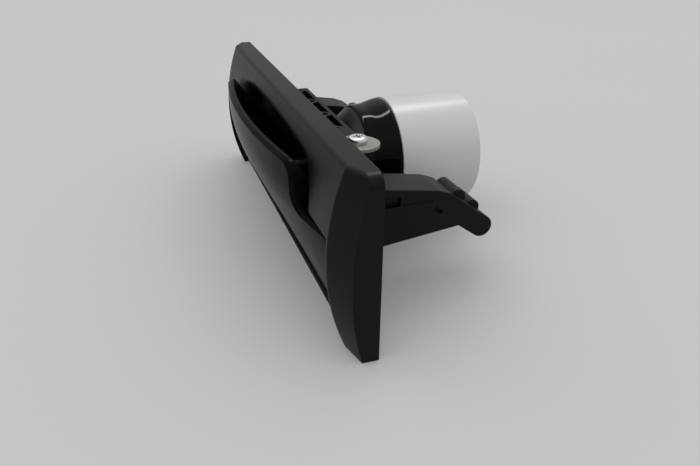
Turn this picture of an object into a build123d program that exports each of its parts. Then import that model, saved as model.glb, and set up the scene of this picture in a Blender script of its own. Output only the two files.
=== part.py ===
"""Toe-kick sweep inlet for a central vacuum line: bezel, hinged toe flap, suction box, duct, pipe stub."""
import math
import os

from build123d import *

# Frame: X along the bezel, Y from front to rear with the bezel's rear plane at 0, Z up from the floor.
# All sizes are millimetres.

# Bezel
BEZEL_LENGTH = 204.0
BEZEL_HEIGHT = 66.0
CROWN_DEPTH = 14.9
EDGE_DEPTH = 8.4
END_BEVEL = 10.3
END_DEPTH_TOP = 3.2
END_DEPTH_MIDDLE = 9.4
END_DEPTH_BOTTOM = 6.0
CORNER_RADIUS = 5.0
RIDGE_ROUND = 1.2
TOP_ROUND = 2.0
CHEEK_WIDTH = 11.4
CHEEK_CORE_WIDTH = 2.6
CHEEK_CORE_DEPTH = 5.0
CHEEK_CORE_WALL = 2.0
CHEEK_CORE_MARGIN = 9.0

# Toe flap: a bowed panel hinged along the floor, whose raised middle is the toe lip
FLAP_END_GAP = 0.7
FLOOR_GAP = 0.8
FLAP_BOTTOM = 4.8
FLAP_FOOT_Y = -6.0
FLAP_WALL = 2.8
LIP_REACH_MIDDLE = 18.4
LIP_REACH_END = 5.8
BEND_Z = 42.0
BEND_RADIUS = 40.0
PEDAL_DROP = 9.0
PEDAL_HALF = 62.0
PEDAL_CORNER = 7.0
PEDAL_ROOT = 5.0
LOW_LIP = 39.2
LIP_CHAMFER = 1.4
DISH_DEPTH = 5.0
DISH_DROP = 9.0
FLAP_RIB_DEPTH = 2.6
FLAP_RIB_WALL = 1.6
FLAP_RIB_SPACING = 26.0
FLAP_RIB_LAYOUT = (-1, 0, 1)
FLAP_RIB_TOP_GAP = 3.6
SEAL_HEIGHT = 3.4
SEAL_GAP = 0.3

# Pivot of the flap, in the cheeks
PIVOT_Y = -5.0
PIVOT_Z = 4.6
PIN_RADIUS = 1.5
PIN_REACH = 15.7
LUG_RADIUS = 2.6
LUG_WIDTH = 3.2
BUSH_WALL = 1.1
BUSH_LENGTH = 4.2
FIT = 0.02
RUNNING_FIT = 0.05

# Return springs round the pivot pins
SPRING_WIRE = 0.6
SPRING_RADIUS = 2.2
SPRING_TURNS = 4
SPRING_PITCH = 1.3
SPRING_START_GAP = 0.9
SPRING_LEG = 0.6
SPRING_ARM = 6.5
SPRING_ROOM = 0.4

# Rubber buffers under the closed flap
BUFFER_RADIUS = 2.5
BUFFER_Z = 30.0
BUFFER_GAP = 0.3

# Pocket scooped in the bezel's face behind the toe lip, measured on its rear plane
LIP_GAP = 2.8
POCKET_SIDE_INSET = 4.0
POCKET_TOP_DROP = 7.0
POCKET_SHOULDER_DROP = 9.2
POCKET_CORNER = 7.0
POCKET_FLARE = 35.0
POCKET_RIM = 4.0

# Back plate in the bezel's rear rebate
PLATE_WALL = 2.2
PLATE_LAP = 5.4
PLATE_TOP_LAND = 2.2
PLATE_FIT = 0.2
MOUTH_HALF = 50.0
MOUTH_TOP = 40.0
MOUTH_CORNER = 4.0

# Suction box behind the mouth
BOX_HALF = 54.0
BOX_DEPTH = 15.0
BOX_TOP = 46.0
BOX_WALL = 2.0
BOX_CORNER = 3.0

# Ribbed frame on the box
FRAME_TOP = 55.0
FRAME_RAIL = 1.7
FRAME_RIB = 1.5
FRAME_PITCH = 10.0
FRAME_CELLS = 6
FRAME_LEFT_END = -36.0
FRAME_RIGHT_END = 27.0

# Duct and pipe
DUCT_AXIS_Z = 32.0
THROAT_WIDTH = 46.0
THROAT_HEIGHT = 34.0
THROAT_CENTRE_Z = 24.0
THROAT_CORNER = 12.0
DUCT_WALL = 2.0
FLANGE_WALL = 2.5
FLANGE_MARGIN = 7.0
NECK_Y = 26.0
NECK_RADIUS = 22.6
COLLAR_RADIUS = 24.1
PIPE_START = 40.4
PIPE_LENGTH = 36.5
PIPE_RADIUS = 25.4
PIPE_WALL = 1.65
SPIGOT_LENGTH = 19.0
SPIGOT_CLEARANCE = 0.35
SEAL_SECTION = 0.68
SEAL_POSITION = 9.0

# Rear arms
ARM_INNER_X = 55.0
ARM_THICKNESS = 10.0
ARM_REAR_WIDTH = 17.0
ARM_ROOT_TOP = 46.2
ARM_ROOT_BOTTOM = 18.6
ARM_KNEE_Y = 42.3
ARM_KNEE_TOP = 38.7
ARM_SHOULDER_Y = 37.2
ARM_SHOULDER_TOP = 40.6
ARM_HEEL_Y = 46.6
ARM_HEEL_Z = 24.7
ARM_TIP_Y = 56.8
ARM_TIP_Z = 22.8
ARM_TIP_RADIUS = 4.4
ARM_WALL = 2.2
ARM_CORE_DEPTH = 13.0
ARM_ROOT_SOLID = 9.0
ARM_RIDGE_Z = 36.0
ARM_RIDGE_STAND = 0.8
ARM_EDGE_ROUND = 0.7
LOBE_RADIUS = 3.2
LOBE_STEP = 3.6
LOBE_SHARES = (0.32, 0.76)
ARM_SLOT_DEPTH = 1.4
ARM_SLOT_TILT = 35.0

# Wire terminal on top of the frame
TERMINAL_X = 47.5
TERMINAL_Y = 11.0
BRACKET_WALL = 1.6
WASHER_RADIUS = 8.3
WASHER_WALL = 1.2
TERMINAL_SHANK = 2.0
TERMINAL_HEAD = 3.7
TERMINAL_HEAD_HEIGHT = 2.6
NUT_RADIUS = 3.9
NUT_HEIGHT = 2.6

# Start switch under the terminal bracket
BLADE_SHARES = (0.15, 0.5, 0.85)
SWITCH_LENGTH = 12.8
SWITCH_DEPTH = 6.4
SWITCH_HEIGHT = 5.8
SWITCH_X = 30.4
SWITCH_Y = 2.6
LEVER_HINGE_INSET = 1.2
LEVER_HINGE_STAND = 1.0
LEVER_PIN_RADIUS = 0.5
LEVER_EYE = 1.0
LEVER_LENGTH = 14.6
LEVER_DROP = 18.0
LEVER_SHEET = 0.6
LEVER_WIDTH = 2.6
PLUNGER_RADIUS = 0.8
PLUNGER_INSET = 5.0
PLUNGER_LENGTH = 3.4
PLUNGER_STOP_GAP = 0.05
STRIKER_X = 44.0
STRIKER_RADIUS = 1.7
STRIKER_SET = 4.4
STRIKER_GAP = 0.2

# Small fasteners
SCREW_RADIUS = 1.4
SCREW_HEAD = 2.7
SCREW_HEAD_HEIGHT = 1.7
SCREW_GRIP = 6.0
SMALL_SCREW_RADIUS = 0.8
SMALL_SCREW_HEAD = 1.5
SMALL_SCREW_HEAD_HEIGHT = 0.8

# Sizes that follow from the ones above
HALF_LENGTH = BEZEL_LENGTH / 2
RIDGE_X = HALF_LENGTH - END_BEVEL
OPENING_HALF = HALF_LENGTH - CHEEK_WIDTH
OPENING_TOP = LOW_LIP + LIP_GAP
FLAP_HALF = OPENING_HALF - FLAP_END_GAP
PIN_INNER_END = FLAP_HALF - PIN_REACH
PEDAL_TOP = BEZEL_HEIGHT - PEDAL_DROP
POCKET_HALF = PEDAL_HALF - POCKET_SIDE_INSET
POCKET_TOP = PEDAL_TOP - POCKET_TOP_DROP
POCKET_SHOULDER = PEDAL_TOP - POCKET_SHOULDER_DROP
POCKET_SPREAD = CROWN_DEPTH * math.tan(math.radians(POCKET_FLARE))
PLATE_HALF = OPENING_HALF + PLATE_LAP - PLATE_FIT
PLATE_TOP = BEZEL_HEIGHT - PLATE_TOP_LAND
PLATE_SCREW_X = OPENING_HALF + PLATE_LAP / 2
PLATE_SCREWS_Z = (BOX_TOP / 4, PLATE_TOP - BOX_TOP / 4)
BUSH_BORE = PIN_RADIUS + RUNNING_FIT
BUSH_RADIUS = BUSH_BORE + BUSH_WALL
BUSH_START = OPENING_HALF + FLAP_END_GAP / 2
ARM_SCREWS_Z = (ARM_ROOT_BOTTOM + ARM_WALL + SCREW_HEAD, ARM_ROOT_TOP - ARM_WALL - 2 * SCREW_HEAD)
ARM_SCREW_X = ARM_INNER_X + ARM_THICKNESS / 2
PIPE_BORE = PIPE_RADIUS - PIPE_WALL
SPIGOT_RADIUS = PIPE_BORE - SPIGOT_CLEARANCE
DUCT_BORE = NECK_RADIUS - DUCT_WALL
FLANGE_REAR = BOX_DEPTH + FLANGE_WALL
FLANGE_WIDTH = THROAT_WIDTH + 2 * (DUCT_WALL + FLANGE_MARGIN)
FLANGE_HEIGHT = 2 * min(THROAT_CENTRE_Z - BOX_WALL, BOX_TOP - THROAT_CENTRE_Z - FIT)
DUCT_SCREW_X = FLANGE_WIDTH / 2 - FLANGE_MARGIN / 2
DUCT_SCREW_Z = FLANGE_HEIGHT / 2 - FLANGE_MARGIN / 2
SWITCH_BASE = BOX_TOP
SWITCH_TOP = SWITCH_BASE + SWITCH_HEIGHT
LEVER_HINGE_X = SWITCH_X + LEVER_HINGE_INSET
LEVER_HINGE_Y = SWITCH_Y - LEVER_HINGE_STAND
LEVER_Z = SWITCH_BASE + SWITCH_HEIGHT / 2
PLUNGER_X = SWITCH_X + PLUNGER_INSET
BRACKET_LEFT = FRAME_RIGHT_END + FIT
BRACKET_UNDER = FRAME_TOP - BRACKET_WALL


def block(x_span, y_span, z_span):
    """Box between two corners, given as spans along the three axes."""
    spans = (x_span, y_span, z_span)
    middle = [(low + high) / 2 for low, high in spans]
    return Pos(*middle) * Box(*[high - low for low, high in spans])


def rod_x(span, y, z, radius):
    """Round bar along X."""
    return Pos((span[0] + span[1]) / 2, y, z) * Rot(0, 90, 0) * Cylinder(radius, span[1] - span[0])


def rod_y(span, x, z, radius):
    """Round bar along Y."""
    return Pos(x, (span[0] + span[1]) / 2, z) * Rot(90, 0, 0) * Cylinder(radius, span[1] - span[0])


def rod_z(span, x, y, radius):
    """Round bar along Z."""
    return Pos(x, y, (span[0] + span[1]) / 2) * Cylinder(radius, span[1] - span[0])


def mirrored(shape):
    """The same piece for the other end of the bezel."""
    return mirror(shape, about=Plane.YZ)


def bezel_section(x, top, middle, bottom):
    """Section of the bezel across its length: flat back, crowned front."""
    front = ThreePointArc((-bottom, 0), (-middle, BEZEL_HEIGHT / 2), (-top, BEZEL_HEIGHT))
    back = Polyline((-top, BEZEL_HEIGHT), (0, BEZEL_HEIGHT), (0, 0), (-bottom, 0))
    section = make_face(front + back)
    top_front = [v for v in section.vertices() if v.Y > BEZEL_HEIGHT - FIT and v.X < -FIT]
    return Plane.YZ.offset(x) * fillet(top_front, TOP_ROUND)


def pocket_outline():
    """Front outline of the pocket: straight sides, rounded shoulders and a domed top."""
    low = OPENING_TOP - POCKET_RIM
    left_shoulder = (-POCKET_HALF, POCKET_SHOULDER)
    right_shoulder = (POCKET_HALF, POCKET_SHOULDER)
    sides = Polyline(left_shoulder, (-POCKET_HALF, low), (POCKET_HALF, low), right_shoulder)
    dome = ThreePointArc(right_shoulder, (0, POCKET_TOP), left_shoulder)
    outline = make_face(sides + dome)
    shoulders = [v for v in outline.vertices() if v.Y > OPENING_TOP]
    return fillet(shoulders, POCKET_CORNER)


def make_bezel():
    """Inverted U: two bevelled cheeks and a crowned face with the pedal pocket let into it."""
    full = (EDGE_DEPTH, CROWN_DEPTH, EDGE_DEPTH)
    end = (END_DEPTH_TOP, END_DEPTH_MIDDLE, END_DEPTH_BOTTOM)
    form = extrude(bezel_section(-RIDGE_X, *full), amount=2 * RIDGE_X)
    right_end = loft([bezel_section(RIDGE_X, *full), bezel_section(HALF_LENGTH, *end)], ruled=True)
    form += right_end
    form += mirrored(right_end)
    arcs = form.edges().filter_by(GeomType.CIRCLE)
    form = fillet([e for e in arcs if abs(abs(e.center().X) - RIDGE_X) < FIT], RIDGE_ROUND)
    corner_x = HALF_LENGTH - CORNER_RADIUS
    corner_z = BEZEL_HEIGHT - CORNER_RADIUS
    corner = block((corner_x, HALF_LENGTH + 1), (-2 * CROWN_DEPTH, 1), (corner_z, BEZEL_HEIGHT + 1))
    corner -= rod_y((-2 * CROWN_DEPTH, 1), corner_x, corner_z, CORNER_RADIUS)
    form -= corner
    form -= mirrored(corner)
    pocket_rear = pocket_outline()
    pocket_front = offset(pocket_rear, POCKET_SPREAD, kind=Kind.INTERSECTION)
    form -= loft([Plane.XZ * pocket_rear, Plane.XZ.offset(CROWN_DEPTH) * pocket_front], ruled=True)
    form -= block((-OPENING_HALF, OPENING_HALF), (-2 * CROWN_DEPTH, 1), (-1, OPENING_TOP))
    rim = [e for e in form.edges() if is_pocket_rim(e)]
    form = fillet(rim, POCKET_RIM)
    rebate_half = PLATE_HALF + PLATE_FIT
    form -= block((-rebate_half, rebate_half), (-PLATE_WALL, 1), (-1, PLATE_TOP + PLATE_FIT))
    core_start = HALF_LENGTH - CHEEK_CORE_WALL - CHEEK_CORE_WIDTH
    core = block(
        (core_start, core_start + CHEEK_CORE_WIDTH),
        (-CHEEK_CORE_DEPTH, 1),
        (CHEEK_CORE_MARGIN, BEZEL_HEIGHT - CHEEK_CORE_MARGIN),
    )
    hole_end = BUSH_START + BUSH_LENGTH + FIT
    pivot_hole = rod_x((OPENING_HALF - 1, hole_end), PIVOT_Y, PIVOT_Z, BUSH_RADIUS + FIT)
    for z in PLATE_SCREWS_Z:
        core += rod_y((-PLATE_WALL - SCREW_GRIP, 1), PLATE_SCREW_X, z, SCREW_RADIUS + FIT)
    form -= core
    form -= mirrored(core)
    form -= pivot_hole
    form -= mirrored(pivot_hole)
    return form


def is_pocket_rim(edge):
    """True for the edges where the pocket's wall meets the crowned face."""
    centre = edge.center()
    on_front = centre.Y < -EDGE_DEPTH + RIDGE_ROUND
    in_pocket = abs(centre.X) < POCKET_HALF + POCKET_SPREAD
    in_pocket = in_pocket and OPENING_TOP < centre.Z < POCKET_TOP + POCKET_SPREAD
    across = abs(edge.tangent_at(0.5).Y) < 0.5
    return on_front and in_pocket and across


def flap_section(x, front_set, rear_set):
    """Section of the flap at x: straight from foot to bend, rounded there, then upright to above the lip."""
    lip_y = FLAP_FOOT_Y - lip_reach(x)
    top = PEDAL_TOP + FLAP_WALL
    front = [(FLAP_FOOT_Y + front_set, FLAP_BOTTOM), (lip_y + front_set, BEND_Z), (lip_y + front_set, top)]
    rear = [(lip_y + rear_set, top), (lip_y + rear_set, BEND_Z), (FLAP_FOOT_Y + rear_set, FLAP_BOTTOM)]
    section = make_face(Polyline(*front, *rear, close=True))
    bends = [v for v in section.vertices() if abs(v.Y - BEND_Z) < FIT]
    return Plane.YZ.offset(x) * fillet(bends, BEND_RADIUS)


def flap_front(x, z):
    """Y of the flap's front at x and height z: slope below the bend, arc round it, upright above."""
    reach = lip_reach(x)
    lean = math.atan2(reach, BEND_Z - FLAP_BOTTOM)
    tangent = BEND_RADIUS * math.tan(lean / 2)
    if z > BEND_Z + tangent:
        return FLAP_FOOT_Y - reach
    if z < BEND_Z - tangent * math.cos(lean):
        return FLAP_FOOT_Y - (z - FLAP_BOTTOM) * math.tan(lean)
    below = BEND_Z + tangent - z
    return FLAP_FOOT_Y - reach + BEND_RADIUS - math.sqrt(BEND_RADIUS ** 2 - below ** 2)


def lip_reach(x):
    """How far the lip stands in front of the foot at x, on the bow from end to end."""
    return LIP_REACH_MIDDLE - (LIP_REACH_MIDDLE - LIP_REACH_END) * (x / FLAP_HALF) ** 2


def flap_outline():
    """Front outline of the flap: low lip at both ends, S-curved shoulders up to the pedal."""
    outline = make_face(
        Polyline(
            (-FLAP_HALF, FLAP_BOTTOM),
            (FLAP_HALF, FLAP_BOTTOM),
            (FLAP_HALF, LOW_LIP),
            (PEDAL_HALF, LOW_LIP),
            (PEDAL_HALF, PEDAL_TOP),
            (-PEDAL_HALF, PEDAL_TOP),
            (-PEDAL_HALF, LOW_LIP),
            (-FLAP_HALF, LOW_LIP),
            close=True,
        )
    )
    corners = outline.vertices().filter_by(lambda v: abs(abs(v.X) - PEDAL_HALF) < FIT)
    outline = fillet(corners.group_by(Axis.Y)[-1], PEDAL_CORNER)
    low_corners = outline.vertices().filter_by(lambda v: abs(v.Y - LOW_LIP) < FIT)
    roots = [v for v in low_corners if abs(abs(v.X) - PEDAL_HALF) < FIT]
    return fillet(roots, PEDAL_ROOT)


def make_flap_panel():
    """Bowed panel trimmed to its outline, with lip dish, ribs, pivot lugs, end webs and striker socket."""
    sections = [flap_section(x, 0, FLAP_WALL) for x in (-FLAP_HALF, 0, FLAP_HALF)]
    trim = extrude(Plane.XZ * flap_outline(), amount=4 * CROWN_DEPTH)
    panel = loft(sections) & trim
    panel = chamfer([e for e in panel.edges() if is_lip_edge(e)], LIP_CHAMFER)
    panel += lip_dish() & trim
    rib_rear = FLAP_FOOT_Y + FLAP_WALL
    rib_top = PEDAL_TOP - DISH_DROP - FLAP_RIB_TOP_GAP
    for place in FLAP_RIB_LAYOUT:
        rib = flap_section(place * FLAP_RIB_SPACING, FLAP_WALL / 2, FLAP_WALL + FLAP_RIB_DEPTH)
        rib = extrude(rib, FLAP_RIB_WALL / 2, both=True)
        panel += rib & block((-FLAP_HALF, FLAP_HALF), (-4 * CROWN_DEPTH, rib_rear), (FLAP_BOTTOM, rib_top))
    coil_radius = SPRING_RADIUS + SPRING_WIRE / 2 + SPRING_ROOM
    coil_room = rod_x((PIN_INNER_END, FLAP_HALF), PIVOT_Y, PIVOT_Z, coil_radius)
    panel -= coil_room
    panel -= mirrored(coil_room)
    for start in (PIN_INNER_END, FLAP_HALF - LUG_WIDTH):
        lug = pivot_lug(start)
        panel += lug
        panel += mirrored(lug)
    panel -= rod_y((striker_seat() - FIT, 0), STRIKER_X, LEVER_Z, STRIKER_RADIUS + FIT)
    bore = rod_x((PIN_INNER_END - 1, FLAP_HALF + 1), PIVOT_Y, PIVOT_Z, PIN_RADIUS + FIT)
    panel -= bore
    panel -= mirrored(bore)
    return panel


def pivot_lug(start):
    """Round lug for the pin, and the web that ties it to the panel up to the low lip."""
    rear = FLAP_FOOT_Y + FLAP_WALL
    top_y = flap_front(start + LUG_WIDTH, LOW_LIP) + FLAP_WALL / 2
    web = Polyline(
        (FLAP_FOOT_Y + FLAP_WALL / 4, PIVOT_Z),
        (rear, PIVOT_Z),
        (rear, FLAP_BOTTOM + 2 * FLAP_WALL),
        (top_y, LOW_LIP - FLAP_RIB_TOP_GAP),
        close=True,
    )
    lug = rod_x((start, start + LUG_WIDTH), PIVOT_Y, PIVOT_Z, LUG_RADIUS)
    return lug + extrude(Plane.YZ.offset(start) * make_face(web), LUG_WIDTH)


def striker_seat():
    """Y of the bottom of the striker's socket in the lip dish."""
    return flap_front(STRIKER_X, LEVER_Z) + STRIKER_SET


def make_striker():
    """Rubber peg in the lip dish that holds the switch's lever down while the flap is closed."""
    lever_tip = LEVER_HINGE_Y - LEVER_LENGTH * math.sin(math.radians(LEVER_DROP)) - LEVER_SHEET
    return rod_y((striker_seat(), lever_tip - STRIKER_GAP), STRIKER_X, LEVER_Z, STRIKER_RADIUS)


def lip_dish():
    """Slope behind the toe lip, which is the dustpan's lead-in when the flap lies open."""
    sections = []
    for x in (-PEDAL_HALF, 0, PEDAL_HALF):
        edge = flap_front(x, PEDAL_TOP) + FLAP_WALL
        root = edge - FLAP_WALL / 4
        heel = (edge + DISH_DEPTH, PEDAL_TOP - DISH_DROP)
        outline = Polyline((root, PEDAL_TOP), (edge, PEDAL_TOP), heel, (root, LOW_LIP), close=True)
        sections.append(Plane.YZ.offset(x) * make_face(outline))
    return loft(sections)


def is_lip_edge(edge):
    """True for the front edge along the top of the flap."""
    middle = edge.position_at(0.5)
    front = abs(middle.Y - flap_front(middle.X, middle.Z)) < FLAP_WALL / 4
    return front and middle.Z > LOW_LIP - FIT


def make_floor_seal():
    """Rubber threshold on the floor, hollowed to clear the foot of the flap as it turns."""
    half = OPENING_HALF - FLAP_END_GAP / 2
    strip = block((-half, half), (FLAP_FOOT_Y, -PLATE_WALL - FIT), (0, SEAL_HEIGHT))
    return strip - rod_x((-half - 1, half + 1), PIVOT_Y, PIVOT_Z, LUG_RADIUS + SEAL_GAP)


def make_pin():
    """Pivot pin through the flap's two lugs at one end and into the bush."""
    return rod_x((PIN_INNER_END, BUSH_START + BUSH_LENGTH - FIT), PIVOT_Y, PIVOT_Z, PIN_RADIUS)


def make_bush():
    """Plain bush in the cheek."""
    span = (BUSH_START, BUSH_START + BUSH_LENGTH)
    return rod_x(span, PIVOT_Y, PIVOT_Z, BUSH_RADIUS) - rod_x(span, PIVOT_Y, PIVOT_Z, BUSH_BORE)


def biarc(start, start_dir, end, end_dir):
    """Two arcs that leave start along start_dir and reach end along end_dir."""
    chord = end - start
    both = start_dir + end_dir
    square = both.dot(both) - 4
    linear = -2 * chord.dot(both)
    root = math.sqrt(linear * linear - 4 * square * chord.dot(chord))
    reach = max((-linear + root) / (2 * square), (-linear - root) / (2 * square))
    first = start + start_dir * reach
    second = end - end_dir * reach
    joint = (first + second) / 2
    return [TangentArc(start, joint, tangent=start_dir), TangentArc(joint, end, tangent=second - first)]


def spring_point(angle, start_x):
    """Point and direction on the coil: a helix about the pivot, angle in radians."""
    advance = SPRING_PITCH / (2 * math.pi)
    point = Vector(
        start_x + advance * angle,
        PIVOT_Y + SPRING_RADIUS * math.cos(angle),
        PIVOT_Z + SPRING_RADIUS * math.sin(angle),
    )
    direction = Vector(advance, -SPRING_RADIUS * math.sin(angle), SPRING_RADIUS * math.cos(angle))
    return point, direction.normalized()


def make_spring():
    """Torsion spring on the pin: short leg down at the back plate, long leg up behind the flap."""
    start_x = PIN_INNER_END + LUG_WIDTH + SPRING_START_GAP
    places = [spring_point(math.pi / 2 * i, start_x) for i in range(4 * SPRING_TURNS + 1)]
    pieces = []
    for (point, direction), (next_point, next_direction) in zip(places, places[1:]):
        pieces += biarc(point, direction, next_point, next_direction)
    first, first_dir = places[0]
    last, last_dir = places[-1]
    pieces.insert(0, Line(first - first_dir * SPRING_LEG, first))
    pieces.append(Line(last, last + last_dir * SPRING_ARM))
    path = Wire(pieces)
    profile = Plane(path @ 0, z_dir=path % 0) * Circle(SPRING_WIRE / 2)
    coil = sweep(profile, path=path)
    gap = SPRING_PITCH - SPRING_WIRE
    print("spring: least gap between turns", round(gap, 2), "mm, volume", round(coil.volume, 2),
          "against", round(path.length * math.pi * SPRING_WIRE ** 2 / 4, 2))
    return coil


def make_back_plate():
    """Flat plate that closes the bezel's rear, with the suction mouth, the lever slot and screw holes."""
    plate = block((-PLATE_HALF, PLATE_HALF), (-PLATE_WALL, 0), (FLOOR_GAP / 2, PLATE_TOP))
    mouth = Pos(0, MOUTH_TOP / 2) * RectangleRounded(2 * MOUTH_HALF, MOUTH_TOP, MOUTH_CORNER)
    plate -= extrude(Plane.XZ * mouth, amount=2 * PLATE_WALL, both=True)
    sill_half = BOX_HALF + PLATE_FIT
    plate -= block((-sill_half, sill_half), (-2 * PLATE_WALL, 1), (-1, BOX_WALL + PLATE_FIT))
    reach = LEVER_LENGTH * math.cos(math.radians(LEVER_DROP)) + 2 * LEVER_SHEET
    slot_half = LEVER_WIDTH / 2 + LEVER_SHEET
    plate -= block(
        (LEVER_HINGE_X + LEVER_SHEET, LEVER_HINGE_X + reach),
        (-2 * PLATE_WALL, 1),
        (LEVER_Z - slot_half, LEVER_Z + slot_half),
    )
    holes = [(PLATE_SCREW_X, z) for z in PLATE_SCREWS_Z] + [(ARM_SCREW_X, z) for z in ARM_SCREWS_Z]
    for x, z in holes:
        hole = rod_y((-2 * PLATE_WALL, 1), x, z, SCREW_RADIUS + FIT)
        plate -= hole
        plate -= mirrored(hole)
    for z in PLATE_SCREWS_Z:
        sink = rod_y((-SCREW_HEAD_HEIGHT - FIT, 1), PLATE_SCREW_X, z, SCREW_HEAD + FIT)
        plate -= sink
        plate -= mirrored(sink)
    return plate


def make_suction_box():
    """Open-fronted box behind the mouth: throat in its rear wall, sill that reaches under the plate."""
    box = block((-BOX_HALF, BOX_HALF), (0, BOX_DEPTH), (0, BOX_TOP))
    rear_edges = box.edges().filter_by(Axis.Z).group_by(Axis.Y)[-1]
    box = fillet(rear_edges, BOX_CORNER)
    inner = BOX_HALF - BOX_WALL
    box -= block((-inner, inner), (-1, BOX_DEPTH - BOX_WALL), (BOX_WALL, BOX_TOP - BOX_WALL))
    throat = Pos(0, THROAT_CENTRE_Z) * RectangleRounded(THROAT_WIDTH, THROAT_HEIGHT, THROAT_CORNER)
    box -= extrude(Plane.XZ.offset(-BOX_DEPTH - 1) * throat, amount=2 * BOX_WALL + 1)
    box += block((-BOX_HALF, BOX_HALF), (-PLATE_WALL, 0), (0, BOX_WALL))
    for x in (-DUCT_SCREW_X, DUCT_SCREW_X):
        for z in (THROAT_CENTRE_Z - DUCT_SCREW_Z, THROAT_CENTRE_Z + DUCT_SCREW_Z):
            box -= rod_y((BOX_DEPTH - 2 * BOX_WALL, BOX_DEPTH + 1), x, z, SCREW_RADIUS + FIT)
    for x, y in switch_screw_places():
        box -= rod_z((BOX_TOP - BOX_WALL - 1, BOX_TOP + 1), x, y, SMALL_SCREW_RADIUS + FIT)
    return box


def make_rib_frame():
    """Two rails on the box joined by a zigzag of thin ribs, open at the top."""
    left = FRAME_LEFT_END
    front = FRAME_RAIL / 2
    rear = BOX_DEPTH - FRAME_RAIL / 2
    start = FRAME_RIGHT_END - FRAME_RAIL / 2 - FRAME_CELLS * FRAME_PITCH
    corners = [(start + i * FRAME_PITCH, front if i % 2 else rear) for i in range(FRAME_CELLS + 1)]
    middle_x = (left + FRAME_RIGHT_END) / 2
    length = FRAME_RIGHT_END - left
    plan = Pos(middle_x, front) * Rectangle(length, FRAME_RAIL)
    plan += Pos(middle_x, rear) * Rectangle(length, FRAME_RAIL)
    for x in (left + FRAME_RAIL / 2, FRAME_RIGHT_END - FRAME_RAIL / 2):
        plan += Pos(x, BOX_DEPTH / 2) * Rectangle(FRAME_RAIL, BOX_DEPTH)
    plan += trace(Polyline(*corners), line_width=FRAME_RIB)
    plan &= Pos(middle_x, BOX_DEPTH / 2) * Rectangle(length, BOX_DEPTH)
    return extrude(Plane.XY.offset(BOX_TOP) * plan, FRAME_TOP - BOX_TOP)


def make_duct():
    """Flanged duct: a throat that turns from an oblong to a round neck, a flared collar and a spigot."""
    flange = Pos(0, THROAT_CENTRE_Z) * RectangleRounded(FLANGE_WIDTH, FLANGE_HEIGHT, FLANGE_MARGIN / 2)
    duct = extrude(Plane.XZ.offset(-FLANGE_REAR) * flange, FLANGE_WALL)
    duct += funnel(DUCT_WALL, NECK_RADIUS)
    spigot_end = PIPE_START + SPIGOT_LENGTH
    groove = PIPE_START + SEAL_POSITION
    half_groove = SEAL_SECTION + 2 * FIT
    groove_radius = PIPE_BORE - 2 * SEAL_SECTION - 2 * FIT
    profile = Polyline(
        (NECK_Y, 0),
        (NECK_Y, NECK_RADIUS),
        (PIPE_START, COLLAR_RADIUS),
        (PIPE_START, SPIGOT_RADIUS),
        (groove - half_groove, SPIGOT_RADIUS),
        (groove - half_groove, groove_radius),
        (groove + half_groove, groove_radius),
        (groove + half_groove, SPIGOT_RADIUS),
        (spigot_end, SPIGOT_RADIUS),
        (spigot_end, 0),
        close=True,
    )
    duct += Pos(0, 0, DUCT_AXIS_Z) * revolve(Plane.YZ * make_face(profile), Axis.Y)
    duct -= funnel(0, DUCT_BORE)
    throat = Pos(0, THROAT_CENTRE_Z) * RectangleRounded(THROAT_WIDTH, THROAT_HEIGHT, THROAT_CORNER)
    duct -= extrude(Plane.XZ.offset(-FLANGE_REAR) * throat, 2 * FLANGE_WALL)
    duct -= rod_y((NECK_Y, spigot_end + 1), 0, DUCT_AXIS_Z, DUCT_BORE)
    for x in (-DUCT_SCREW_X, DUCT_SCREW_X):
        for z in (THROAT_CENTRE_Z - DUCT_SCREW_Z, THROAT_CENTRE_Z + DUCT_SCREW_Z):
            duct -= rod_y((BOX_DEPTH - 1, FLANGE_REAR + 1), x, z, SCREW_RADIUS + FIT)
    return duct


def funnel(wall, radius):
    """Loft from the oblong throat at the flange to the round neck."""
    oblong = RectangleRounded(THROAT_WIDTH + 2 * wall, THROAT_HEIGHT + 2 * wall, THROAT_CORNER + wall)
    start = Plane.XZ.offset(-FLANGE_REAR) * Pos(0, THROAT_CENTRE_Z) * oblong
    end = Plane.XZ.offset(-NECK_Y) * Pos(0, DUCT_AXIS_Z) * Circle(radius)
    return loft([start, end])


def make_spigot_seal():
    """Rubber ring between the spigot and the pipe."""
    ring = Torus(PIPE_BORE - SEAL_SECTION - FIT, SEAL_SECTION)
    return Pos(0, PIPE_START + SEAL_POSITION, DUCT_AXIS_Z) * Rot(90, 0, 0) * ring


def make_pipe():
    """Stub of plain pipe pushed over the spigot up to the collar."""
    span = (PIPE_START, PIPE_START + PIPE_LENGTH)
    return rod_y(span, 0, DUCT_AXIS_Z, PIPE_RADIUS) - rod_y(span, 0, DUCT_AXIS_Z, PIPE_BORE)


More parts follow.
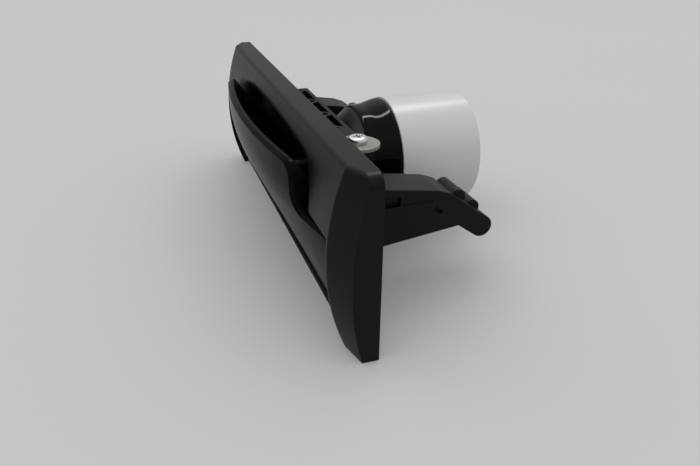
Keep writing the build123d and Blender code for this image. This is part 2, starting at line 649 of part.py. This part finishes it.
def arm_outline():
    """Side outline of an arm: a tapered beam that kinks down into a rounded tail."""
    slope = math.atan2(ARM_KNEE_TOP - ARM_TIP_Z - ARM_TIP_RADIUS, ARM_TIP_Y - ARM_KNEE_Y)
    across = (math.sin(slope) * ARM_TIP_RADIUS, math.cos(slope) * ARM_TIP_RADIUS)
    along = (math.cos(slope) * ARM_TIP_RADIUS, -math.sin(slope) * ARM_TIP_RADIUS)
    upper = (ARM_TIP_Y + across[0], ARM_TIP_Z + across[1])
    far = (ARM_TIP_Y + along[0], ARM_TIP_Z + along[1])
    lower = (ARM_TIP_Y - across[0], ARM_TIP_Z - across[1])
    beam = Polyline(
        lower,
        (ARM_HEEL_Y, ARM_HEEL_Z),
        (0, ARM_ROOT_BOTTOM),
        (0, ARM_ROOT_TOP),
        (ARM_SHOULDER_Y, ARM_SHOULDER_TOP),
        (ARM_KNEE_Y, ARM_KNEE_TOP),
        upper,
    )
    return make_face(beam + ThreePointArc(upper, far, lower))


def make_arm():
    """Arm at the right: beam cored from its inner side, ridge, recess and slot outside, two lobes on top."""
    side = arm_outline()
    outer_x = ARM_INNER_X + ARM_THICKNESS
    inner_x = outer_x - ARM_REAR_WIDTH
    arm = extrude(Plane.YZ.offset(inner_x) * side, ARM_REAR_WIDTH)
    arm = fillet([e for e in arm.edges() if is_arm_outer_edge(e, outer_x)], ARM_EDGE_ROUND)
    core = extrude(Plane.YZ.offset(inner_x) * offset(side, -ARM_WALL), ARM_CORE_DEPTH)
    arm -= core & block((0, 2 * outer_x), (ARM_ROOT_SOLID, 2 * ARM_TIP_Y), (0, BEZEL_HEIGHT))
    arm -= block((0, ARM_INNER_X), (-1, BOX_DEPTH + FLANGE_WALL), (0, BEZEL_HEIGHT))
    ridge_span = (BOX_DEPTH, ARM_SHOULDER_Y - ARM_WALL)
    ridge = block(
        (outer_x - ARM_RIDGE_STAND, outer_x + ARM_RIDGE_STAND),
        ridge_span,
        (ARM_RIDGE_Z - ARM_RIDGE_STAND, ARM_RIDGE_Z + ARM_RIDGE_STAND),
    )
    arm += ridge
    arm -= block(
        (outer_x - ARM_SLOT_DEPTH, outer_x + 1),
        (BOX_DEPTH, BOX_DEPTH + 3 * ARM_WALL),
        (ARM_RIDGE_Z + ARM_RIDGE_STAND, ARM_RIDGE_Z + ARM_RIDGE_STAND + 1.5 * ARM_WALL),
    )
    slot = Rot(0, 0, -ARM_SLOT_TILT) * SlotOverall(2 * ARM_WALL, 2 * ARM_RIDGE_STAND)
    slot = Pos(ARM_SHOULDER_Y, (ARM_SHOULDER_TOP + ARM_HEEL_Z) / 2) * slot
    arm -= extrude(Plane.YZ.offset(outer_x - ARM_SLOT_DEPTH) * slot, 2 * ARM_SLOT_DEPTH)
    for share in LOBE_SHARES:
        y = ARM_KNEE_Y + share * (ARM_TIP_Y - ARM_KNEE_Y)
        z = ARM_KNEE_TOP + share * (ARM_TIP_Z + ARM_TIP_RADIUS - ARM_KNEE_TOP)
        arm += rod_x((inner_x, outer_x - LOBE_STEP), y, z, LOBE_RADIUS)
    for z in ARM_SCREWS_Z:
        arm -= rod_y((-1, SCREW_GRIP), ARM_SCREW_X, z, SCREW_RADIUS + FIT)
    return arm


def is_arm_outer_edge(edge, outer_x):
    """True for the long edges of the arm's outer face behind the root."""
    centre = edge.center()
    return abs(centre.X - outer_x) < FIT and centre.Y > ARM_WALL


def make_bracket():
    """Small bridge over the start switch that carries the wire terminal."""
    outside = block((BRACKET_LEFT, BOX_HALF), (0, BOX_DEPTH), (BOX_TOP, FRAME_TOP))
    inside_span = (BRACKET_LEFT + BRACKET_WALL, BOX_HALF - BRACKET_WALL)
    inside = block(inside_span, (-1, BOX_DEPTH + 1), (BOX_TOP - 1, BRACKET_UNDER))
    hole = rod_z((BRACKET_UNDER - 1, FRAME_TOP + 1), TERMINAL_X, TERMINAL_Y, TERMINAL_SHANK + FIT)
    return outside - inside - hole


def make_washer():
    """Large flat washer that clamps the wires."""
    span = (FRAME_TOP, FRAME_TOP + WASHER_WALL)
    washer = rod_z(span, TERMINAL_X, TERMINAL_Y, WASHER_RADIUS)
    return washer - rod_z(span, TERMINAL_X, TERMINAL_Y, TERMINAL_SHANK + FIT)


def make_terminal_screw():
    """Pan-head screw with a crossed recess."""
    seat = FRAME_TOP + WASHER_WALL
    head = rod_z((seat, seat + TERMINAL_HEAD_HEIGHT), TERMINAL_X, TERMINAL_Y, TERMINAL_HEAD)
    head = fillet(head.edges().group_by(Axis.Z)[-1], TERMINAL_HEAD_HEIGHT / 2)
    top = seat + TERMINAL_HEAD_HEIGHT
    for turn in (0, 90):
        wing = Box(TERMINAL_HEAD, TERMINAL_SHANK / 2, TERMINAL_HEAD_HEIGHT)
        head -= Pos(TERMINAL_X, TERMINAL_Y, top) * Rot(0, 0, turn) * wing
    shank_end = BRACKET_UNDER - NUT_HEIGHT - TERMINAL_SHANK / 4
    return head + rod_z((shank_end, seat), TERMINAL_X, TERMINAL_Y, TERMINAL_SHANK)


def make_terminal_nut():
    """Hexagon nut under the bracket."""
    hexagon = Pos(TERMINAL_X, TERMINAL_Y) * RegularPolygon(NUT_RADIUS, 6)
    hexagon -= Pos(TERMINAL_X, TERMINAL_Y) * Circle(TERMINAL_SHANK + FIT)
    return extrude(Plane.XY.offset(BRACKET_UNDER - NUT_HEIGHT) * hexagon, NUT_HEIGHT)


def switch_screw_places():
    """Where the switch is screwed to the box: opposite corners of its case."""
    inset = 2 * SMALL_SCREW_RADIUS
    return (
        (SWITCH_X + inset, SWITCH_Y + SWITCH_DEPTH - inset),
        (SWITCH_X + SWITCH_LENGTH - inset, SWITCH_Y + SWITCH_DEPTH - inset),
    )


def make_switch_body():
    """Case of the start switch with two ears that hold the lever's pin."""
    length_span = (SWITCH_X, SWITCH_X + SWITCH_LENGTH)
    body = block(length_span, (SWITCH_Y, SWITCH_Y + SWITCH_DEPTH), (SWITCH_BASE, SWITCH_TOP))
    ear_height = (SWITCH_HEIGHT - LEVER_WIDTH) / 2 - 2 * RUNNING_FIT
    ear = block(
        (LEVER_HINGE_X - LEVER_EYE, LEVER_HINGE_X + LEVER_EYE),
        (LEVER_HINGE_Y - LEVER_EYE, SWITCH_Y),
        (SWITCH_BASE, SWITCH_BASE + ear_height),
    )
    body += ear
    body += Pos(0, 0, SWITCH_HEIGHT - ear_height) * ear
    body -= rod_z((SWITCH_BASE - 1, SWITCH_TOP + 1), LEVER_HINGE_X, LEVER_HINGE_Y, LEVER_PIN_RADIUS + FIT)
    eye_room = LEVER_EYE + LEVER_SHEET / 2
    body -= rod_z(
        (SWITCH_BASE + ear_height, SWITCH_TOP - ear_height), LEVER_HINGE_X, LEVER_HINGE_Y, eye_room
    )
    bore_span = (SWITCH_Y - 1, SWITCH_Y + PLUNGER_LENGTH)
    body -= rod_y(bore_span, PLUNGER_X, LEVER_Z, PLUNGER_RADIUS + RUNNING_FIT)
    for x, y in switch_screw_places():
        body -= rod_z((SWITCH_BASE - 1, SWITCH_TOP + 1), x, y, SMALL_SCREW_RADIUS + FIT)
    return body


def make_lever_pin():
    """Pin through the switch's ears and the lever's eye."""
    return rod_z((SWITCH_BASE, SWITCH_TOP), LEVER_HINGE_X, LEVER_HINGE_Y, LEVER_PIN_RADIUS)


def make_switch_lever():
    """Sheet lever rolled round its pin, reaching through the plate to the striker, held down by it."""
    low = LEVER_Z - LEVER_WIDTH / 2
    span = (low, low + LEVER_WIDTH)
    eye = rod_z(span, 0, 0, LEVER_EYE)
    blade = block((0, LEVER_LENGTH), (-LEVER_SHEET / 2, LEVER_SHEET / 2), span)
    tip = rod_z(span, LEVER_LENGTH, 0, LEVER_SHEET)
    lever = eye + blade + tip - rod_z(span, 0, 0, LEVER_PIN_RADIUS + RUNNING_FIT)
    return Pos(LEVER_HINGE_X, LEVER_HINGE_Y, 0) * Rot(0, 0, -LEVER_DROP) * lever


def make_switch_plunger():
    """Plunger between the switch and the lever."""
    drop = math.radians(LEVER_DROP)
    near_edge = PLUNGER_X - PLUNGER_RADIUS - LEVER_HINGE_X
    lever_back = LEVER_HINGE_Y - near_edge * math.tan(drop) + LEVER_SHEET / 2 / math.cos(drop)
    span = (lever_back + RUNNING_FIT, SWITCH_Y + PLUNGER_LENGTH - PLUNGER_STOP_GAP)
    return rod_y(span, PLUNGER_X, LEVER_Z, PLUNGER_RADIUS)


def make_switch_terminals():
    """Three blades on the back of the switch."""
    rear = SWITCH_Y + SWITCH_DEPTH
    depth_span = (rear, rear + SWITCH_DEPTH / 2)
    blades = []
    for share in BLADE_SHARES:
        x = SWITCH_X + share * SWITCH_LENGTH
        blade_span = (x - LEVER_SHEET / 2, x + LEVER_SHEET / 2)
        blades.append(block(blade_span, depth_span, (LEVER_Z - 1, LEVER_Z + 1)))
    return blades


def screw_along_y(x, z, seat, grip, way, head_radius=SCREW_HEAD):
    """Screw whose head sits on the plane Y = seat and whose shank runs along way, +1 or -1."""
    head = rod_y(sorted((seat, seat - way * SCREW_HEAD_HEIGHT)), x, z, head_radius)
    return head + rod_y(sorted((seat, seat + way * grip)), x, z, SCREW_RADIUS)


def make_plate_screws():
    """Four sunk screws that hold the back plate in the bezel."""
    seat = -SCREW_HEAD_HEIGHT
    grip = PLATE_WALL + SCREW_GRIP - SCREW_HEAD_HEIGHT - FIT
    right = [screw_along_y(PLATE_SCREW_X, z, seat, grip, -1) for z in PLATE_SCREWS_Z]
    return right + [mirrored(screw) for screw in right]


def make_arm_screws():
    """Four screws from the front of the back plate into the arms."""
    grip = PLATE_WALL + SCREW_GRIP - FIT
    right = [screw_along_y(ARM_SCREW_X, z, -PLATE_WALL, grip, 1) for z in ARM_SCREWS_Z]
    return right + [mirrored(screw) for screw in right]


def make_duct_screws():
    """Four screws through the duct's flange into the box."""
    grip = FLANGE_WALL + BOX_WALL - FIT
    heights = (THROAT_CENTRE_Z - DUCT_SCREW_Z, THROAT_CENTRE_Z + DUCT_SCREW_Z)
    right = [screw_along_y(DUCT_SCREW_X, z, FLANGE_REAR, grip, -1) for z in heights]
    return right + [mirrored(screw) for screw in right]


def make_switch_screws():
    """Two small screws down through the switch."""
    screws = []
    for x, y in switch_screw_places():
        head = rod_z((SWITCH_TOP, SWITCH_TOP + SMALL_SCREW_HEAD_HEIGHT), x, y, SMALL_SCREW_HEAD)
        screws.append(head + rod_z((BOX_TOP - BOX_WALL, SWITCH_TOP), x, y, SMALL_SCREW_RADIUS))
    return screws


def make_stop_buffers():
    """Two rubber buffers on the back plate that the closed flap rests on."""
    x = (MOUTH_HALF + OPENING_HALF) / 2
    front = flap_front(x + BUFFER_RADIUS, BUFFER_Z - BUFFER_RADIUS) + FLAP_WALL + BUFFER_GAP
    right = rod_y((front, -PLATE_WALL), x, BUFFER_Z, BUFFER_RADIUS)
    return [right, mirrored(right)]


os.makedirs("parts", exist_ok=True)
arm = make_arm()
bush = make_bush()
pin = make_pin()
spring = make_spring()
nodes = {
    "bezel": make_bezel(),
    "back_plate": make_back_plate(),
    "suction_box": make_suction_box(),
    "rib_frame": make_rib_frame(),
    "suction_duct": make_duct(),
    "spigot_seal": make_spigot_seal(),
    "pipe_stub": make_pipe(),
    "right_arm": arm,
    "left_arm": mirrored(arm),
    "right_bush": bush,
    "left_bush": mirrored(bush),
    "right_spring": spring,
    "left_spring": mirrored(spring),
    "stop_buffers": make_stop_buffers(),
    "terminal_bracket": make_bracket(),
    "terminal_washer": make_washer(),
    "terminal_screw": make_terminal_screw(),
    "terminal_nut": make_terminal_nut(),
    "switch_body": make_switch_body(),
    "switch_terminals": make_switch_terminals(),
    "switch_screws": make_switch_screws(),
    "lever_pin": make_lever_pin(),
    "plate_screws": make_plate_screws(),
    "arm_screws": make_arm_screws(),
    "duct_screws": make_duct_screws(),
    "flap_panel": make_flap_panel(),
    "striker": make_striker(),
    "floor_seal": make_floor_seal(),
    "right_pin": pin,
    "left_pin": mirrored(pin),
    "switch_lever": make_switch_lever(),
    "switch_plunger": make_switch_plunger(),
}
for name, shape in nodes.items():
    pieces = shape if isinstance(shape, list) else [shape]
    solids = [solid for piece in pieces for solid in piece.solids()]
    export_step(Compound(children=solids), f"parts/{name}.step")
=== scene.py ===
# %% [markdown]
# # Toe-kick sweep inlet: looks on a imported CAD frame
# The object is a floor-level suction inlet for a plinth: a dark crowned bezel with a toe flap, a suction
# box and duct behind it, a stub of white pipe, two moulded arms and a small wire terminal.
# The CAD nodes are the object. This lesson gives each one a procedural finish, adds the moulded sleeve
# that rounds the duct's neck, and sets a plain stage, a soft room and the camera.

import math

import bpy
import numpy as np
from mathutils import Matrix, Vector


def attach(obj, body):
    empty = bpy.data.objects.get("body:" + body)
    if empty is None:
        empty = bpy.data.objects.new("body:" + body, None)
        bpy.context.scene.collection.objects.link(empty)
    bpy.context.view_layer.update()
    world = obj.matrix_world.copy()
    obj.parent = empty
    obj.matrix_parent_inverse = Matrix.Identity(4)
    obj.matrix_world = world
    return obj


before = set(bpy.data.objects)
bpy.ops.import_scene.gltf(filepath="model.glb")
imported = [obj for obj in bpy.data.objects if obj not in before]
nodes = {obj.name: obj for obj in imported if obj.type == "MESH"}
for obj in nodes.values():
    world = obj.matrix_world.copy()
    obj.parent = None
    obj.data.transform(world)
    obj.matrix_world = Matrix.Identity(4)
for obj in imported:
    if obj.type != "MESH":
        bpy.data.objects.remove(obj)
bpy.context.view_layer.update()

# %% [markdown]
# ## Shader arithmetic
# A finish is a formula over the surface: a colour or roughness plus a little noise. Wiring nodes by hand
# hides that formula, so a `Value` wraps one shader socket and each operator on it adds a Math node.
# `Recipe.node` makes any other node, which keeps every finish below to a few lines.


# %% shader helpers
class Value:
    """One shader value; arithmetic on it adds Math nodes to its recipe."""

    def __init__(self, recipe, socket):
        self.recipe = recipe
        self.socket = socket

    def _math(self, operation, first, second):
        return self.recipe.node("ShaderNodeMath", {0: first, 1: second}, operation=operation)

    def __add__(self, other):
        return self._math("ADD", self, other)

    def __sub__(self, other):
        return self._math("SUBTRACT", self, other)

    def __mul__(self, other):
        return self._math("MULTIPLY", self, other)

    def __rsub__(self, other):
        return self._math("SUBTRACT", other, self)

    __radd__ = __add__
    __rmul__ = __mul__

    def between(self, low, high):
        """0 below low, 1 above high, smooth between."""
        inputs = {"Value": self, "From Min": low, "From Max": high}
        return self.recipe.node("ShaderNodeMapRange", inputs, interpolation_type="SMOOTHSTEP")


class Recipe:
    """A material or world under construction: its first shader and the nodes that feed it."""

    def __init__(self, owner, **plain):
        owner.use_nodes = True
        self.owner = owner
        self.tree = owner.node_tree
        self.shader = self.tree.nodes.get("Principled BSDF") or self.tree.nodes["Background"]
        self.feed(**plain)

    def node(self, kind, inputs=None, output=0, **settings):
        """Any shader node: settings by name, inputs by name or number, as numbers or Values."""
        made = self.tree.nodes.new(kind)
        for key, setting in settings.items():
            setattr(made, key, setting)
        for key, given in (inputs or {}).items():
            self._put(made.inputs[key], given)
        return Value(self, made.outputs[output])

    def feed(self, **inputs):
        """Sets the shader's inputs; base_color stands for Base Color."""
        for key, given in inputs.items():
            self._put(self.shader.inputs[key.replace("_", " ").title().replace("Ior", "IOR")], given)

    def _put(self, socket, given):
        if isinstance(given, Value):
            self.tree.links.new(given.socket, socket)
        else:
            socket.default_value = given

    def place(self):
        """Position in the object's own coordinates, in metres."""
        return self.node("ShaderNodeTexCoord", output="Object")

    def noise(self, size, detail=2.0, stretch=(1, 1, 1)):
        """Noise from 0 to 1 whose lumps are about size metres, squeezed by stretch along X, Y and Z."""
        scaled = self.node("ShaderNodeMapping", {"Vector": self.place(), "Scale": stretch})
        inputs = {"Vector": scaled, "Scale": 1 / size, "Detail": detail}
        return self.node("ShaderNodeTexNoise", inputs)

    def blend(self, share, low, high):
        """Colour between low and high by share."""
        inputs = {0: share, 6: (*low, 1), 7: (*high, 1)}
        return self.node("ShaderNodeMix", inputs, output=2, data_type="RGBA")

    def rounded(self, radius):
        """Surface normal with every sharp edge eased over radius metres."""
        return self.node("ShaderNodeBevel", {"Radius": radius}, samples=4)

    def edges(self, normal):
        """1 where the eased normal leaves the flat one, so along edges, and 0 elsewhere."""
        flat = self.node("ShaderNodeNewGeometry", output="Normal")
        pair = {0: normal, 1: flat}
        same = self.node("ShaderNodeVectorMath", pair, output="Value", operation="DOT_PRODUCT")
        return (1 - same).between(0.01, 0.2)

    def bump(self, height, depth, normal):
        """Normal from a height map whose full swing is depth metres, on top of another normal."""
        inputs = {"Height": height, "Distance": depth, "Strength": 1.0, "Normal": normal}
        return self.node("ShaderNodeBump", inputs)


print("shader helpers ready")

# %% [markdown]
# ## Moulded plastic
# Injection moulding leaves a fine spark-eroded grain, a slow unevenness in tone and softly broken edges.
# A picture could hold all that, but it would slide on the CAD meshes, which have no UV map. So one formula
# in object coordinates makes the grain, the cloud and the eased edge, with a painted highlight on the
# edges.


# %% plastic formula
def moulded(name, dark, light, rough, grain, depth, edge, **plain):
    """Plastic: cloud in colour and roughness, grain in roughness and normal, eased edges with painted
    highlight.
    """
    recipe = Recipe(bpy.data.materials.new(name), **plain)
    cloud = recipe.noise(0.03)
    fine = recipe.noise(grain, detail=3.0)
    eased = recipe.rounded(edge)
    edge_highlight_and_gloss = recipe.edges(eased)
    # Painted highlight: the edge mask lightens the base colour along every edge, and it also lowers the
    # roughness there.
    recipe.feed(base_color=recipe.blend(0.75 * cloud + 0.25 * edge_highlight_and_gloss, dark, light))
    recipe.feed(roughness=rough + 0.08 * (fine - 0.5) + 0.06 * (cloud - 0.5) - 0.05 * edge_highlight_and_gloss)
    recipe.feed(normal=recipe.bump(fine, depth, eased))
    return recipe.owner


def grey(tone):
    """Neutral colour of one linear tone."""
    return (tone, tone, tone)


# %% [markdown]
# The bezel and the arms are a satin charcoal, and the flap is a little smoother, so it mirrors the floor.
# The pieces behind the opening are the same black in a duller texture. The photo's blacks are deep, so
# the specular level is low and the tone comes mostly from what the surface mirrors.

# %% dark plastics
charcoal = moulded(
    "charcoal", dark=grey(0.003), light=(0.0048, 0.0048, 0.0053),
    rough=0.37, grain=0.0005, depth=1e-5, edge=0.0006, specular_ior_level=0.15,
)
satin = moulded(
    "satin flap", dark=grey(0.003), light=grey(0.0045),
    rough=0.25, grain=0.0005, depth=5e-6, edge=0.0004, specular_ior_level=0.03,
)
inner = moulded(
    "inner black", dark=grey(0.0025), light=grey(0.004),
    rough=0.45, grain=0.0007, depth=2e-5, edge=0.0003, specular_ior_level=0.13,
)
rubber = moulded(
    "dark rubber", dark=grey(0.005), light=grey(0.009),
    rough=0.75, grain=0.0006, depth=3e-5, edge=0.0004, specular_ior_level=0.25,
)
print("dark plastics:", [m.name for m in (charcoal, satin, inner, rubber)])

# %% [markdown]
# The duct is a gloss moulding. Its wall sinks a little as it cools, and the long ripple that this leaves
# bends every highlight, so its bump is slow and shallow instead of a grain. Only the neck's collar is
# polished high. The flanks by the box are duller, so they take the same formula with more roughness.

# %% gloss duct
gloss = moulded(
    "gloss black", dark=grey(0.001), light=grey(0.002),
    rough=0.07, grain=0.009, depth=4e-5, edge=0.0004, specular_ior_level=0.09,
)
duller = moulded(
    "half-gloss", dark=grey(0.003), light=grey(0.0045),
    rough=0.33, grain=0.006, depth=2e-5, edge=0.0004, specular_ior_level=0.3,
)
print("duct:", gloss.name, "and", duller.name)

# %% [markdown]
# The pipe is extruded, which leaves faint lines along its length. Squeezing the noise along Y draws
# them. Bushes and plunger are turned acetal.


# %% pale plastics
def extruded(name, dark, light, rough):
    """Extruded plastic: cloud in colour, lines along Y in roughness and normal."""
    recipe = Recipe(bpy.data.materials.new(name))
    cloud = recipe.noise(0.04)
    lines = recipe.noise(0.0012, detail=3.0, stretch=(1, 0.02, 1))
    recipe.feed(base_color=recipe.blend(cloud, dark, light))
    recipe.feed(roughness=rough + 0.1 * (lines - 0.5))
    recipe.feed(normal=recipe.bump(lines, 8e-6, recipe.rounded(0.0004)))
    return recipe.owner


white = extruded("white pipe", dark=(0.69, 0.673, 0.671), light=(0.74, 0.722, 0.72), rough=0.32)
acetal = moulded(
    "acetal", dark=(0.60, 0.60, 0.57), light=(0.68, 0.68, 0.65),
    rough=0.4, grain=0.001, depth=1e-5, edge=0.0003,
)
print("pale plastics:", white.name, acetal.name)

# %% [markdown]
# ## Metals
# The terminal's washer is dull zinc, its screw is brighter, and the pins and springs are drawn steel.
# Plating clouds over unevenly, so a broad noise moves the colour and a fine one the roughness.


# %% metals
def plated(name, dull, bright, rough, grain):
    """Metal: colour clouded by a broad noise, roughness and normal by a fine one."""
    recipe = Recipe(bpy.data.materials.new(name), metallic=1.0)
    cloud = recipe.noise(grain * 6)
    fine = recipe.noise(grain, detail=4.0)
    eased = recipe.rounded(0.0002)
    recipe.feed(base_color=recipe.blend(cloud, dull, bright))
    recipe.feed(roughness=rough + 0.25 * (fine - 0.5))
    recipe.feed(normal=recipe.bump(fine, grain * 0.01, eased))
    return recipe.owner


dull_zinc = plated("dull zinc", (0.22, 0.22, 0.2), (0.275, 0.275, 0.255), rough=0.55, grain=0.0008)
bright_zinc = plated("bright zinc", (0.70, 0.71, 0.71), (0.84, 0.85, 0.85), rough=0.24, grain=0.0006)
steel = plated("spring steel", grey(0.45), (0.58, 0.58, 0.57), rough=0.35, grain=0.0006)
blackened = plated("blackened steel", grey(0.015), grey(0.025), rough=0.45, grain=0.0006)
brass = plated("brass", (0.60, 0.44, 0.17), (0.72, 0.55, 0.25), rough=0.35, grain=0.0006)
print("metals:", [m.name for m in (dull_zinc, bright_zinc, steel, blackened, brass)])

# %% [markdown]
# ## Which node wears what
# Each node is one moulding, pressing or set of equal fasteners, so one finish per node is enough.

# %% dress the nodes
worn = {
    charcoal: ["bezel", "left_arm", "right_arm"],
    satin: ["flap_panel"],
    inner: ["back_plate", "suction_box", "rib_frame", "terminal_bracket", "switch_body"],
    duller: ["suction_duct"],
    white: ["pipe_stub"],
    rubber: ["floor_seal", "spigot_seal", "stop_buffers", "striker"],
    dull_zinc: ["terminal_washer", "terminal_nut"],
    bright_zinc: ["terminal_screw", "switch_screws"],
    blackened: ["plate_screws", "arm_screws", "duct_screws"],
    steel: ["left_pin", "right_pin", "left_spring", "right_spring", "lever_pin", "switch_lever"],
    brass: ["switch_terminals"],
    acetal: ["left_bush", "right_bush", "switch_plunger"],
}
for material, names in worn.items():
    for name in names:
        nodes[name].data.materials.clear()
        nodes[name].data.materials.append(material)
print("undressed:", sorted(set(nodes) - {name for names in worn.values() for name in names}))

# %% [markdown]
# ## Sleeve on the duct's neck
# On the real duct the neck is waisted and swells to a rolled collar where the pipe begins. The CAD neck is
# a plain cone. A subdivided cage could give the swell, but a surface of revolution says it in one formula:
# a closed section of radius over length, turned about the pipe's axis. A two-part mould leaves a parting
# line along both sides, so two narrow humps are added to the radius.


# %% mesh from grids
def mesh_object(name, points, faces, material):
    """Mesh object from an array of points and an array of faces."""
    mesh = bpy.data.meshes.new(name)
    mesh.from_pydata(np.asarray(points).tolist(), [], np.asarray(faces).tolist())
    mesh.materials.append(material)
    made = bpy.data.objects.new(name, mesh)
    bpy.context.scene.collection.objects.link(made)
    return made


def wrapped_quads(rows, columns):
    """Quads of a grid that closes on itself in both directions."""
    index = np.arange(rows * columns).reshape(rows, columns)
    down = np.roll(index, -1, axis=0)
    corners = (index, np.roll(index, -1, axis=1), np.roll(down, -1, axis=1), down)
    return np.stack(corners, axis=-1).reshape(-1, 4)


def smooth(low, high, t):
    """0 below low, 1 above high, and 3s^2 - 2s^3 between, where s is the share of the way."""
    s = np.clip((t - low) / (high - low), 0, 1)
    return s * s * (3 - 2 * s)


# %% duct sleeve
# Radius: the CAD cone and a thin skin, plus a small swell that dies out from the box end and a larger one
# that grows towards the pipe, less a roll at each end. The inner wall lies just below the cone.
sleeve_start, sleeve_end = 0.0256, 0.0403
neck_start, neck_radius, neck_slope = 0.026, 0.0226, 1.5 / 14.4
axis_height = 0.032
rings, spokes = 61, 240
skin, sunk = 0.00012, 0.0006
line_height, line_width = 0.00018, 0.0005
along = np.linspace(0, 1, rings)
sleeve_y = sleeve_start + along * (sleeve_end - sleeve_start)
cone = neck_radius + neck_slope * (sleeve_y - neck_start)
swell = 0.0004 * (1 - smooth(0, 0.45, along)) + 0.0011 * smooth(0.3, 0.92, along)
rolled = 0.0004 * (1 - smooth(0, 0.1, along)) ** 2 + 0.0008 * smooth(0.88, 1, along) ** 2
outer = cone + skin + swell - rolled
section_y = np.concatenate((sleeve_y, sleeve_y[::-1]))
section_r = np.concatenate((outer, cone[::-1] - sunk))
on_outside = np.concatenate((np.ones(rings), np.zeros(rings)))[:, None]
turn = np.linspace(0, 2 * math.pi, spokes, endpoint=False)[None, :]
from_line = np.minimum(np.abs(turn - math.pi / 2), np.abs(turn - 3 * math.pi / 2)) * neck_radius
parting = line_height * np.exp(-((from_line / line_width) ** 2)) * on_outside
radius = section_r[:, None] + parting
sleeve_x = radius * np.sin(turn)
sleeve_z = axis_height + radius * np.cos(turn)
sleeve_grid = np.broadcast_arrays(sleeve_x, section_y[:, None], sleeve_z)
sleeve_points = np.stack(sleeve_grid, axis=-1).reshape(-1, 3)
sleeve = mesh_object("duct_sleeve", sleeve_points, wrapped_quads(*radius.shape), gloss)
sleeve.data.polygons.foreach_set("use_smooth", np.ones(len(sleeve.data.polygons), dtype=bool))
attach(sleeve, "housing")
print("sleeve radius:", round(outer.min() * 1000, 2), "to", round(outer.max() * 1000, 2), "mm")

# %% [markdown]
# ## Stage
# The object stands on a pale sheet that fills the view. The sheet keeps the shadow, and for rays from the
# camera and from mirrors it also glows a little, which flattens the background without lighting the object.

# %% stage
paper = Recipe(bpy.data.materials.new("pale sheet"), roughness=0.7, emission_color=(1, 1, 1, 1))
paper.feed(base_color=paper.blend(paper.noise(0.5), grey(0.58), grey(0.61)))
seen = paper.node("ShaderNodeLightPath", output="Is Camera Ray")
mirrored = paper.node("ShaderNodeLightPath", output="Is Glossy Ray")
glow = 0.06
paper.feed(emission_strength=glow * (seen + mirrored))
reach, below = 40.0, -0.0002
corners = [(-reach, -reach, below), (reach, -reach, below), (reach, reach, below), (-reach, reach, below)]
floor = mesh_object("floor", corners, [(0, 1, 2, 3)], paper.owner)
print("floor:", 2 * reach, "m square")

# %% [markdown]
# ## Light
# The photo's shadows are soft on every side, so the room itself lights the object. It is brighter overhead,
# a little in front, and on the left above the horizon, which the top faces mirror. One window strip draws
# the highlight along the gloss duct. Diffuse rays miss it, so it draws that line without a second shadow.
# The camera itself sees the room in the sheet's own tone, so a low view has no horizon.

# %% light
room = Recipe(bpy.data.worlds.new("soft room"), color=(1.0, 1.0, 1.0, 1))
bpy.context.scene.world = room.owner
direction = room.node("ShaderNodeTexCoord", output="Generated")
across, deep, rise = (room.node("ShaderNodeSeparateXYZ", {0: direction}, output=axis) for axis in "XYZ")
overhead = 0.42 + 0.42 * rise.between(0.2, 0.85)
front = (0 - deep).between(0.1, 0.8) * rise.between(0.3, 0.7)
left = (0 - across).between(0.0, 0.9) * rise.between(0.15, 0.6)
lit = overhead + 0.5 * front + 0.18 * left
in_view = room.node("ShaderNodeLightPath", output="Is Camera Ray")
sheet_tone = 0.57
room.feed(strength=lit * (1 - in_view) + sheet_tone * in_view)


def panel_light(name, place, aim, size, power):
    """Rectangular area light at place that only mirrors see, facing aim; size is width and height."""
    data = bpy.data.lights.new(name, "AREA")
    data.shape = "RECTANGLE"
    data.size, data.size_y = size
    data.energy = power
    lamp = bpy.data.objects.new(name, data)
    lamp.location = place
    lamp.visible_diffuse = False
    lamp.rotation_mode = "QUATERNION"
    lamp.rotation_quaternion = (Vector(aim) - Vector(place)).to_track_quat("-Z", "Y")
    bpy.context.scene.collection.objects.link(lamp)


panel_light("window strip", place=(-0.4, 0.26, 1.25), aim=(0, 0.46, 0.05), size=(1.2, 0.11), power=8.5)
print("lights: soft room and one strip")

# %% [markdown]
# ## Camera
# The photo looks along the bezel from its right end and a little down. The place and lens come from
# matching the bezel's and the pipe's edges, and a small roll levels them.

# %% camera
target = Vector((0.07148, 0, 0.03239))
azimuth, elevation, roll = np.radians((70.727, 27.637, 0.585))
distance = 0.22295
level = math.cos(elevation)
back = Vector((math.sin(azimuth) * level, -math.cos(azimuth) * level, math.sin(elevation)))
lens = bpy.data.cameras.new("photo camera")
lens.lens = 32.86
lens.sensor_width = 36.0
lens.clip_start = 0.005
camera = bpy.data.objects.new("photo camera", lens)
camera.location = target + back * distance
camera.rotation_mode = "QUATERNION"
levelled = (-back).to_track_quat("-Z", "Y")
camera.rotation_quaternion = levelled @ Matrix.Rotation(roll, 4, "Z").to_quaternion()
bpy.context.scene.collection.objects.link(camera)
bpy.context.scene.camera = camera
bpy.context.scene.view_settings.view_transform = "Standard"
print("camera at", tuple(round(c, 4) for c in camera.location))

# %% [markdown]
# ## The end
# The dressed object must stay inside the CAD model's box.

# %% finish
print("finished")
